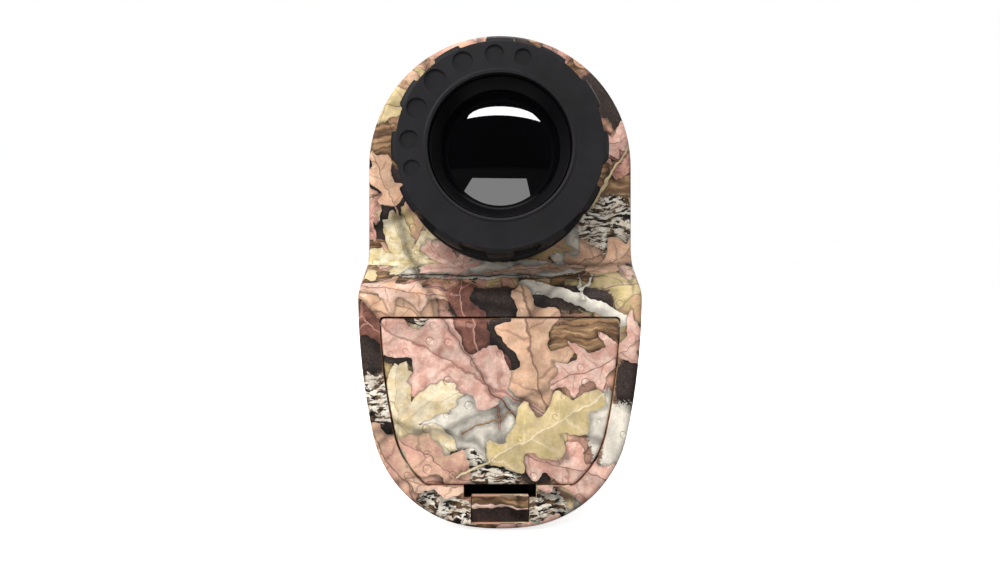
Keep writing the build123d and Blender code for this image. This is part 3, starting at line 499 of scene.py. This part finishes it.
    def leaf_litter(self):
        """Even cover of leaves in three sizes, and one more over a strip of bark on the left."""
        self.settle()
        self.scatter(OAK, 15.0, 17.0, 0.36, 2.6, 1.1, 3.0)
        self.settle()
        self.scatter(MAPLE, 17.0, 10.0, 0.5, 5.0, 1.2, 21.0)
        self.settle()
        self.scatter(OAK, 19.0, 16.0, 0.33, 3.4, 2.2, 40.0)
        self.settle()
        self.leaf(OAK, (-21.4, -16.0), (-20.4, -40.5), 4.8, 2.2, 0.9, PEACH, TAN, WINE)
        self.settle()


def rear_motifs(art):
    """The print on the back of the shell, in mm across and up; up runs over the shelf's surface."""
    art.field((-20.0, 27.0), 3.0, 3.2, 0, art.dark_fill)
    art.field((-18.5, 20.0), 3.6, 4.4, 60, art.bark_fill)
    art.field((20.5, 22.5), 2.6, 4.6, 0, art.dark_fill)
    art.field((18.5, 14.0), 3.4, 6.0, 0, art.pale_fill)
    art.field((0.5, 34.8), 8.5, 3.2, 0, art.dark_fill)
    art.field((12.2, 35.9), 5.4, 2.3, -4, art.dark_fill)
    art.field((-8.0, 3.2), 5.2, 2.6, -30, art.bark_fill)
    art.field((6.8, 3.0), 3.4, 2.6, 30, art.bark_fill)
    art.field((-3.0, 43.5), 15.0, 3.0, 0, art.pale_fill)
    art.field((18.2, 52.5), 4.6, 5.0, 40, art.bark_fill)
    art.field((17.6, 74.0), 3.0, 5.0, 50, art.dark_fill)
    art.field((-20.0, 67.0), 3.0, 3.0, 0, art.wood_fill)
    art.leaf(OAK, (-9.5, 32.0), (-23.5, 38.0), 4.6, 3.0, 1.8, PEACH, TAN, WINE)
    art.leaf(OAK, (-24.0, 39.0), (-7.0, 35.6), 3.8, 3.2, 2.2, TAN, PINK, WINE)
    art.leaf(OAK, (-5.0, 30.0), (-6.5, 39.5), 3.4, 1.4, 1.5, MAROON, WINE, ROSE)
    art.leaf(OAK, (-16.0, 28.0), (-24.0, 35.0), 3.0, 1.6, 1.2, MAROON, WINE, ROSE)
    art.stick((4.5, 38.6), (21.0, 31.5), 1.35, PALE)
    art.stick((12.6, 35.2), (12.3, 41.5), 0.28, PALE)
    art.stick((12.5, 37.0), (15.6, 42.5), 0.24, PALE)
    art.leaf(OAK, (7.3, 14.0), (3.6, 38.6), 5.6, 3.1, 1.6, PEACH, TAN, WINE)
    art.leaf(OAK, (18.0, 27.0), (26.0, 33.0), 4.0, 2.6, 2.4, PINK, ROSE, WINE)
    art.leaf(OAK, (-13.5, 5.0), (-20.5, 16.5), 4.4, 2.2, 0.9, ROSE, PEACH, WINE)
    art.leaf(OAK, (4.0, 10.5), (21.0, 7.0), 5.6, 2.4, 0.9, PINK, ROSE, WINE)
    art.leaf(OAK, (-2.0, 6.0), (-15.0, 7.4), 2.0, 2.4, 0.8, PEACH, PINK, WINE)
    art.leaf(OAK, (-4.0, -1.5), (12.0, 1.6), 2.4, 2.4, 0.8, ROSE, PINK, WINE)
    art.leaf(MAPLE, (-14.5, 45.5), (-19.0, 55.5), 6.0, 5.0, 1.1, OLIVE, CREAM, MOSS)
    art.leaf(OAK, (-18.0, 56.0), (-21.5, 65.5), 3.2, 1.8, 1.0, PEACH, TAN, WINE)
    art.leaf(MAPLE, (-6.5, 44.2), (-12.5, 50.6), 5.0, 5.0, 1.1, ROSE, PINK, WINE)
    art.leaf(OAK, (14.5, 42.6), (24.0, 51.0), 3.6, 1.8, 1.0, PEACH, TAN, WINE)
    art.leaf(OAK, (-2.0, 42.4), (14.0, 44.8), 2.0, 3.2, 2.4, TAN, PINK, WINE)
    art.leaf(OAK, (16.5, 66.0), (23.5, 68.5), 3.2, 1.8, 0.8, ROSE, PINK, WINE)
    art.stick((-16.0, 41.8), (17.0, 41.0), 0.22, INK)
    art.stick((15.0, 56.0), (22.0, 66.5), 0.3, STRAW)


def door_motifs(art):
    """The print on the battery door and its latch, with a dark field across the bottom as painted shade under
    the latch tab.
    """
    art.field((-13.5, 27.2), 6.5, 2.2, -3, art.dark_fill)
    art.field((-4.0, 17.5), 7.6, 6.6, 0, art.pale_fill)
    art.field((2.0, 28.0), 5.6, 5.0, 0, art.dark_fill)
    art.field((13.5, 28.6), 6.2, 4.6, 0, art.wood_fill)
    art.field((16.6, 15.8), 3.2, 6.0, 0, art.pale_fill)
    art.field((-3.2, 9.0), 6.6, 2.9, -12, art.bark_fill)
    art.field((5.6, 8.6), 2.0, 2.6, 60, art.dark_fill)
    art.field((0.0, 4.0), 9.0, 2.0, 0, art.wood_fill)
    # Painted shade: a field of the print's dark fill across the bottom, standing in for the shade under the
    # latch tab.
    art.field((-0.5, 1.6), 9.0, 2.0, 4, art.dark_fill)
    art.stick((-5.0, 3.6), (5.0, 3.9), 0.3, PINK)
    art.leaf(OAK, (-1.2, 20.5), (-5.8, 37.5), 4.6, 1.4, 0.9, MAROON, WINE, ROSE)
    art.leaf(OAK, (7.4, 14.6), (3.0, 38.4), 6.6, 3.1, 1.7, PEACH, TAN, WINE)
    art.leaf(OAK, (1.0, 21.0), (-20.0, 32.4), 7.2, 2.35, 0.9, PINK, ROSE, MAROON)
    art.stick((2.6, 16.7), (-9.5, 33.4), 0.2, MAROON)
    art.leaf(OAK, (19.5, 27.6), (7.6, 22.2), 5.2, 2.9, 2.6, PINK, ROSE, WINE)
    art.leaf(MAPLE, (-15.9, 16.4), (-5.4, 22.6), 6.0, 5.0, 1.1, CREAM, STRAW, MOSS)
    art.stick((-5.8, 14.6), (2.2, 18.6), 0.2, BROWN)
    art.leaf(OAK, (-5.0, 7.4), (-15.6, 14.2), 4.0, 1.6, 0.8, ROSE, PEACH, WINE)
    art.leaf(OAK, (3.4, 11.6), (17.0, 8.2), 4.2, 2.2, 0.9, PINK, ROSE, WINE)
    art.leaf(OAK, (-1.6, 11.0), (16.0, 20.6), 5.2, 3.2, 0.8, OLIVE, STRAW, CREAM)


def camo(name, motifs):
    """Printed shell: motifs on the back, litter elsewhere, dark moulded plastic inside."""
    material, net, shader = blank(name)
    coordinates = net.node("ShaderNodeTexCoord")
    place = net.node("ShaderNodeVectorMath", {0: net.out(coordinates, "Object")}, operation="SCALE")
    place.inputs["Scale"].default_value = MM
    x, y, z = net.split(net.out(place))
    _, facing, _ = net.split(net.out(coordinates, "Normal"))
    behind = net.above(facing * -1.0, FACING_BACK)
    girth = wrap_length(net, x, z)
    shelf = net.low(net.high(y - LOWER_REAR_Y, 0.0), SHELF_DEPTH)
    stretch = (math.hypot(SHELF_DEPTH, SHELF_RISE) - SHELF_RISE) / SHELF_DEPTH
    across = net.choose(behind, girth, x)
    up = net.choose(behind, y, z + shelf * stretch)
    art = Print(net, across, up)
    art.leaf_litter()
    litter = art.colour
    motifs(art)
    art.colour = net.mix(behind, litter, art.colour)
    art.light()
    art.droplets()
    rear_y = LOWER_REAR_Y + net.clamp((z - SHELF_LOW_Z) / SHELF_RISE) * SHELF_DEPTH
    printed = net.high(net.above(depth_inside(net, x, z) * -1.0, -SKIN), net.above(REAR_SKIN, y - rear_y))
    colour = net.mix(printed, RAW_PLASTIC, art.colour)
    grain = net.noise(net.out(place), 6.0, 3.0, 0.6)
    net.feed(shader.inputs["Base Color"], colour)
    net.feed(shader.inputs["Roughness"], net.ramp(art.fleck, 0.3, 0.7, 0.42, 0.52))
    shader.inputs["Specular IOR Level"].default_value = 0.25
    bump(net, shader, grain, 0.06, 0.03)
    return material


def wrap_length(net, x, z):
    """Distance round the body from the middle of its top, in mm, negative on the left."""
    side = abs(x)
    over = net.math("ARCTAN2", net.high(z - EYE_AXIS_Z, 0.0), side) * HALF_WIDTH
    below = net.high(CORNER_Z - z, 0.0)
    under = net.math("ARCTAN2", below, net.high(side - CORNER_X, 0.001)) * CORNER_RADIUS
    flank = net.low(net.high(z, CORNER_Z), EYE_AXIS_Z)
    along = EYE_AXIS_Z + HALF_WIDTH * math.pi / 2 - (flank + over - under)
    return along * net.math("SIGN", x)


def depth_inside(net, x, z):
    """How far inside the body's outline a point is, in mm."""
    side = abs(x)
    upper = net.hypot(side, net.high(z - EYE_AXIS_Z, 0.0)) - HALF_WIDTH
    flank_centre = SIDE_RADIUS - HALF_WIDTH
    flank = net.hypot(side + flank_centre, net.low(z - SIDE_TANGENT_Z, 0.0)) - SIDE_RADIUS
    corner = net.hypot(net.high(side - CORNER_X, 0.0), z - CORNER_Z) - CORNER_RADIUS
    outside = net.choose(net.above(z, CORNER_Z), corner, net.high(upper, flank))
    return outside * -1.0


# ---- Plain materials ----------------------------------------------------------------------------------
TOOL_LINE_MM = 0.12
DULL_METAL = rgb(120, 118, 116)


def blank(name):
    material = bpy.data.materials.new(name)
    material.use_nodes = True
    net = Net(material.node_tree)
    material.node_tree.nodes.clear()
    shader = net.node("ShaderNodeBsdfPrincipled")
    output = net.node("ShaderNodeOutputMaterial")
    material.node_tree.links.new(shader.outputs["BSDF"], output.inputs["Surface"])
    return material, net, shader


def bump(net, shader, height, strength, depth_mm):
    made = net.node("ShaderNodeBump", {"Height": height, "Strength": strength, "Distance": depth_mm / MM})
    net.feed(shader.inputs["Normal"], net.out(made, "Normal"))


def place_mm(net):
    """Object coordinates in mm."""
    coordinates = net.node("ShaderNodeTexCoord")
    made = net.node("ShaderNodeVectorMath", {0: net.out(coordinates, "Object")}, operation="SCALE")
    made.inputs["Scale"].default_value = MM
    return net.out(made)


def edge_wear(net, amount):
    """1 on sharp outer edges, 0 elsewhere."""
    geometry = net.node("ShaderNodeNewGeometry")
    return net.ramp(net.out(geometry, "Pointiness"), 0.52, 0.6, 0.0, amount)


def moulded(name, colour, worn, roughness, grain_mm, strength, wear=0.35):
    """Textured plastic or rubber: spark-eroded grain, faint cloudiness and paler edges."""
    material, net, shader = blank(name)
    spot = place_mm(net)
    grain = net.noise(spot, 1 / grain_mm, 3.0, 0.7)
    cloud = net.noise(spot, 0.12, 2.0, 0.5)
    tone = net.mix(net.ramp(cloud, 0.3, 0.7, 0.0, 0.35), colour, worn)
    tone = net.mix(edge_wear(net, wear), tone, worn)
    net.feed(shader.inputs["Base Color"], tone)
    net.feed(shader.inputs["Roughness"], net.ramp(grain, 0.25, 0.75, roughness - 0.05, roughness + 0.07))
    shader.inputs["Specular IOR Level"].default_value = 0.22
    bump(net, shader, grain, strength, 0.04)
    return material


def metal(name, colour, roughness):
    """Turned or drawn metal with fine tool lines."""
    material, net, shader = blank(name)
    spot = place_mm(net)
    _, along, _ = net.split(spot)
    lines = net.noise(net.vector(along, 0.0), 1 / TOOL_LINE_MM, 2.0, 0.6)
    shader.inputs["Metallic"].default_value = 1.0
    cloud = net.noise(spot, 0.4, 2.0, 0.5)
    tone = net.mix(net.ramp(cloud, 0.3, 0.7, 0.0, 0.25), colour, DULL_METAL)
    net.feed(shader.inputs["Base Color"], tone)
    net.feed(shader.inputs["Roughness"], net.ramp(lines, 0.3, 0.7, roughness - 0.06, roughness + 0.08))
    bump(net, shader, lines, 0.15, 0.02)
    return material


def coated_glass(name, deep, painted_rim_sheen, centre_z):
    """Dark coated lens: nearly black in the middle, with a painted reflection sheen in the coating's tint
    towards the edge.
    """
    material, net, shader = blank(name)
    x, _, z = net.split(place_mm(net))
    reach = net.hypot(x, z - centre_z)
    # Painted reflection: the base colour lightens from the deep colour to the sheen colour towards the lens's
    # edge.
    net.feed(shader.inputs["Base Color"], net.mix(net.ramp(reach, 2.0, 12.0, 0.0, 0.8), deep, painted_rim_sheen))
    dust = net.noise(place_mm(net), 3.0, 2.0, 0.5)
    net.feed(shader.inputs["Roughness"], net.ramp(dust, 0.4, 0.8, 0.015, 0.035))
    shader.inputs["IOR"].default_value = 1.85
    shader.inputs["Coat Weight"].default_value = 0.3
    shader.inputs["Coat Roughness"].default_value = 0.01
    return material


def clear_glass(name, tint):
    material, net, shader = blank(name)
    haze = net.noise(place_mm(net), 0.8, 2.0, 0.5)
    net.feed(shader.inputs["Roughness"], net.ramp(haze, 0.3, 0.8, 0.01, 0.05))
    shader.inputs["Base Color"].default_value = tint
    shader.inputs["Transmission Weight"].default_value = 0.85
    shader.inputs["IOR"].default_value = 1.52
    return material


def circuit_board(name):
    """Green solder mask with thin copper tracks and plated holes."""
    material, net, shader = blank(name)
    spot = place_mm(net)
    x, y, z = net.split(spot)
    rows = net.math("PINGPONG", x + z, 0.6)
    jog = net.noise(spot, 0.5, 0.0, 0.0)
    tracks = net.ramp(abs(rows - 0.3), 0.09, 0.05) * net.above(jog, 0.48)
    pads = net.node("ShaderNodeTexVoronoi", {"Vector": spot, "Scale": 0.55, "Randomness": 0.2})
    pad = net.ramp(net.out(pads, "Distance"), 0.16, 0.12)
    colour = net.mix(tracks, rgb(14, 66, 38), rgb(34, 112, 62))
    colour = net.mix(pad, colour, rgb(206, 180, 116))
    net.feed(shader.inputs["Base Color"], colour)
    net.feed(shader.inputs["Metallic"], pad * 0.8)
    shader.inputs["Roughness"].default_value = 0.35
    bump(net, shader, tracks, 0.2, 0.03)
    return material


BAND_START = 0.72                # share of the cell's length


def battery_wrap(name):
    """Printed steel can: a plain dark sleeve with a copper-coloured band at the front."""
    material, net, shader = blank(name)
    spot = place_mm(net)
    _, y, _ = net.split(spot)
    low, high = (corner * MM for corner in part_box("battery_left"))
    band = net.above(y, low.y + BAND_START * (high.y - low.y))
    end = net.high(net.above(y, high.y - 1.2), net.above(low.y + 0.5, y))
    colour = net.mix(band, rgb(40, 42, 46), rgb(176, 108, 58))
    colour = net.mix(end, colour, rgb(190, 188, 182))
    scuff = net.noise(spot, 1.2, 3.0, 0.6)
    net.feed(shader.inputs["Base Color"], colour)
    net.feed(shader.inputs["Metallic"], net.choose(end, 0.25 + band * 0.4, 1.0))
    net.feed(shader.inputs["Roughness"], net.ramp(scuff, 0.3, 0.7, 0.22, 0.36))
    bump(net, shader, scuff, 0.05, 0.03)
    return material


BLACK = rgb(24, 23, 25)
SOFT_BLACK = rgb(26, 25, 27)
WORN_BLACK = rgb(42, 40, 43)
STEEL = rgb(196, 194, 190)


def materials():
    """One material for each of the record's slots."""
    return {
        "camo_shell": camo("camo_shell", rear_motifs),
        "black_plastic": moulded("black_plastic", BLACK, WORN_BLACK, 0.46, 0.16, 0.35),
        "soft_rubber": moulded("soft_rubber", SOFT_BLACK, WORN_BLACK, 0.5, 0.22, 0.25),
        "grip_rubber": moulded("grip_rubber", rgb(38, 37, 38), WORN_BLACK, 0.62, 0.3, 0.4),
        "seal_rubber": moulded("seal_rubber", rgb(26, 26, 26), BLACK, 0.55, 0.3, 0.2),
        "switch_black": moulded("switch_black", rgb(34, 34, 36), WORN_BLACK, 0.4, 0.2, 0.2),
        "chip_black": moulded("chip_black", rgb(30, 30, 32), WORN_BLACK, 0.5, 0.12, 0.3),
        "wire_red": moulded("wire_red", rgb(150, 26, 20), rgb(176, 50, 40), 0.45, 0.4, 0.15),
        "ribbon_amber": moulded("ribbon_amber", rgb(176, 112, 32), rgb(196, 140, 60), 0.3, 0.6, 0.1),
        # The second colour of each coated glass is its painted rim sheen, a painted reflection.
        "eye_glass": coated_glass("eye_glass", rgb(3, 3, 4), rgb(8, 8, 12), EYE_AXIS_Z),
        "front_glass": coated_glass("front_glass", rgb(10, 5, 8), rgb(64, 24, 22), EYE_AXIS_Z),
        "prism_glass": clear_glass("prism_glass", rgb(226, 236, 236)),
        "display_glass": clear_glass("display_glass", rgb(150, 166, 150)),
        "black_metal": metal("black_metal", rgb(40, 40, 43), 0.42),
        "steel": metal("steel", STEEL, 0.3),
        "spring_steel": metal("spring_steel", rgb(206, 200, 186), 0.26),
        "sensor_metal": metal("sensor_metal", rgb(208, 180, 112), 0.28),
        "circuit_board": circuit_board("circuit_board"),
        "battery_wrap": battery_wrap("battery_wrap"),
    }


def dress_nodes():
    """Gives every CAD node the material of its slot; the door has its own print."""
    looks = materials()
    door = camo("camo_door", door_motifs)
    # Painted shade: the lens retainer and eyepiece cell are black parts given a darker black than the other
    # moulded parts, so the recessed bore reads as shaded.
    bore = moulded("bore_black_painted_shade", rgb(17, 16, 18), rgb(26, 25, 27), 0.3, 0.1, 0.08, 0.1)
    special = {"battery_door": door, "door_latch": door, "lens_retainer": bore, "eyepiece_cell": bore}
    for entry in frame["record"]["subparts"]:
        node = NODES[entry["node"]]
        look = special.get(entry["node"], looks[entry["material_slot"]])
        node.data.materials.clear()
        node.data.materials.append(look)


# ---- Studio -------------------------------------------------------------------------------------------
CAMERA_BACK = 93.4               # from the eyecup's face to the lens, in mm
CAMERA_Z = 38.3
FOCAL_PIXELS = 662.4             # for an image 1000 pixels wide
SENSOR_MM = 36.0
NEAR_CLIP_M = 0.001
FLOOR_GLOW = 0.75
FLOOR_BOUNCE = 0.35              # share of its light that the floor throws back onto the device
CARD_GLOW = 2.0
FLOOR_GAP_M = 0.0004             # floor below the lowest CAD point
CARD_GAP_M = 0.0002              # card above the floor
FLOOR_HALF_M = 4


def camera():
    made = bpy.data.objects.new("camera", bpy.data.cameras.new("camera"))
    bpy.context.scene.collection.objects.link(made)
    made.data.sensor_width = SENSOR_MM
    made.data.lens = FOCAL_PIXELS / 1000 * SENSOR_MM
    made.data.clip_start = NEAR_CLIP_M
    made.location = (0.0, (CUP_FACE_Y - CAMERA_BACK) / MM, CAMERA_Z / MM)
    made.rotation_euler = (math.radians(90), 0, 0)
    bpy.context.scene.camera = made


def softbox(name, direction, distance, width, height, radiance):
    """Rectangular light that faces the eye lens from a direction."""
    light = bpy.data.lights.new(name, "AREA")
    light.shape = "RECTANGLE"
    light.size = width
    light.size_y = height
    light.energy = radiance * math.pi * width * height
    made = bpy.data.objects.new(name, light)
    bpy.context.scene.collection.objects.link(made)
    aim = Vector(direction).normalized()
    target = Vector((0, EYE_LOW.y / MM, EYE_AXIS_Z / MM))
    made.location = target + aim * distance
    made.rotation_euler = aim.to_track_quat("Z", "Y").to_euler()
    return made


def from_angles(azimuth, elevation):
    """Direction towards the user's side; azimuth is positive to the right."""
    turn, rise = math.radians(azimuth), math.radians(elevation)
    return (math.sin(turn) * math.cos(rise), -math.cos(turn) * math.cos(rise), math.sin(rise))


def mirrored_sheet(name, outline, distance, strength):
    """Glowing sheet seen only in reflections; outline holds (azimuth, elevation) from the eye lens."""
    eye = Vector((0, EYE_LOW.y / MM, EYE_AXIS_Z / MM))
    points = [eye + Vector(from_angles(azimuth, elevation)) * distance for azimuth, elevation in outline]
    mesh = bpy.data.meshes.new(name)
    mesh.from_pydata(points, [], [tuple(range(len(points)))])
    mesh.materials.append(glow(name, strength))
    made = bpy.data.objects.new(name, mesh)
    bpy.context.scene.collection.objects.link(made)
    only_in_reflections(made)


def studio():
    softbox("key", from_angles(-16, 46), 1.0, 0.8, 0.34, 9.0).visible_glossy = False
    softbox("left_fill", from_angles(-62, 38), 1.2, 0.7, 0.7, 3.6)
    softbox("left_low", from_angles(-58, 6), 1.2, 0.3, 0.5, 9.0).visible_glossy = False
    softbox("right_fill", from_angles(70, 20), 1.2, 0.5, 0.9, 1.2)
    softbox("top", (0.0, 0.2, 1.0), 1.2, 0.9, 0.9, 2.6)
    softbox("front_fill", (0.3, 1.0, 0.5), 1.4, 0.9, 0.9, 1.8)
    arc = [(3 + 31 * math.cos(turn), 32.6 - 1.2 * math.cos(turn) + 11.2 * math.sin(turn))
           for turn in (math.pi * step / 12 for step in range(13))]
    mirrored_sheet("window", arc, 1.0, 11.0)
    mirrored_sheet("strip", [(42, 1), (54, 1), (54, 36), (42, 36)], 1.0, 1.8)
    world = bpy.data.worlds.new("studio")
    bpy.context.scene.world = world
    world.use_nodes = True
    net = Net(world.node_tree)
    world.node_tree.nodes.clear()
    seen = net.node("ShaderNodeLightPath")
    level = net.choose(net.out(seen, "Is Glossy Ray"), 0.36, 0.01)
    level = net.choose(net.out(seen, "Is Camera Ray"), level, 1.0)
    background = net.node("ShaderNodeBackground", {"Color": (1, 1, 1, 1), "Strength": level})
    output = net.node("ShaderNodeOutputWorld")
    world.node_tree.links.new(background.outputs[0], output.inputs["Surface"])


def flat_sheet(name, corners, level, material):
    """Horizontal sheet of scenery; corners are in metres."""
    mesh = bpy.data.meshes.new(name)
    mesh.from_pydata([(x, y, level) for x, y in corners], [], [tuple(range(len(corners)))])
    mesh.materials.append(material)
    made = bpy.data.objects.new(name, mesh)
    bpy.context.scene.collection.objects.link(made)
    return made


def paper():
    """White paper that stays white to the camera and dark in the lens."""
    material, net, shader = blank("floor_white")
    fibre = net.noise(place_mm(net), 0.02, 3.0, 0.5)
    seen = net.node("ShaderNodeLightPath")
    white = net.mix(net.ramp(fibre, 0.3, 0.7), (0.93, 0.93, 0.93, 1), (0.9, 0.9, 0.9, 1))
    shown = net.choose(net.out(seen, "Is Camera Ray"), FLOOR_BOUNCE, 1.0)
    shown = net.choose(net.out(seen, "Is Glossy Ray"), shown, 0.02)
    net.feed(shader.inputs["Base Color"], net.darken(white, shown))
    net.feed(shader.inputs["Emission Strength"], net.out(seen, "Is Camera Ray") * FLOOR_GLOW)
    shader.inputs["Emission Color"].default_value = (1, 1, 1, 1)
    shader.inputs["Roughness"].default_value = 0.9
    shader.inputs["Specular IOR Level"].default_value = 0.0
    return material


def glow(name, strength):
    material = bpy.data.materials.new(name)
    material.use_nodes = True
    net = Net(material.node_tree)
    material.node_tree.nodes.clear()
    lamp = net.node("ShaderNodeEmission", {"Strength": strength})
    output = net.node("ShaderNodeOutputMaterial")
    material.node_tree.links.new(lamp.outputs[0], output.inputs["Surface"])
    return material


def only_in_reflections(made):
    made.visible_camera = False
    made.visible_diffuse = False
    made.visible_shadow = False


def floor():
    """Paper under the device and, in front of it, the card that the eye lens mirrors."""
    level = cad_box[0][2] - FLOOR_GAP_M
    square = [(x * FLOOR_HALF_M, y * FLOOR_HALF_M) for x, y in ((-1, -1), (1, -1), (1, 1), (-1, 1))]
    flat_sheet("floor", square, level, paper())
    eye_y = EYE_LOW.y / MM
    places = [(-38, 0.108), (-22, 0.30), (21, 0.285), (31, 0.088), (0, 0.068)]
    corners = [(away * math.sin(math.radians(turn)), eye_y - away * math.cos(math.radians(turn)))
               for turn, away in places]
    only_in_reflections(flat_sheet("card", corners, level + CARD_GAP_M, glow("card_glow", CARD_GLOW)))


dress_nodes()
camera()
studio()
floor()
bpy.context.scene.view_settings.view_transform = "Standard"
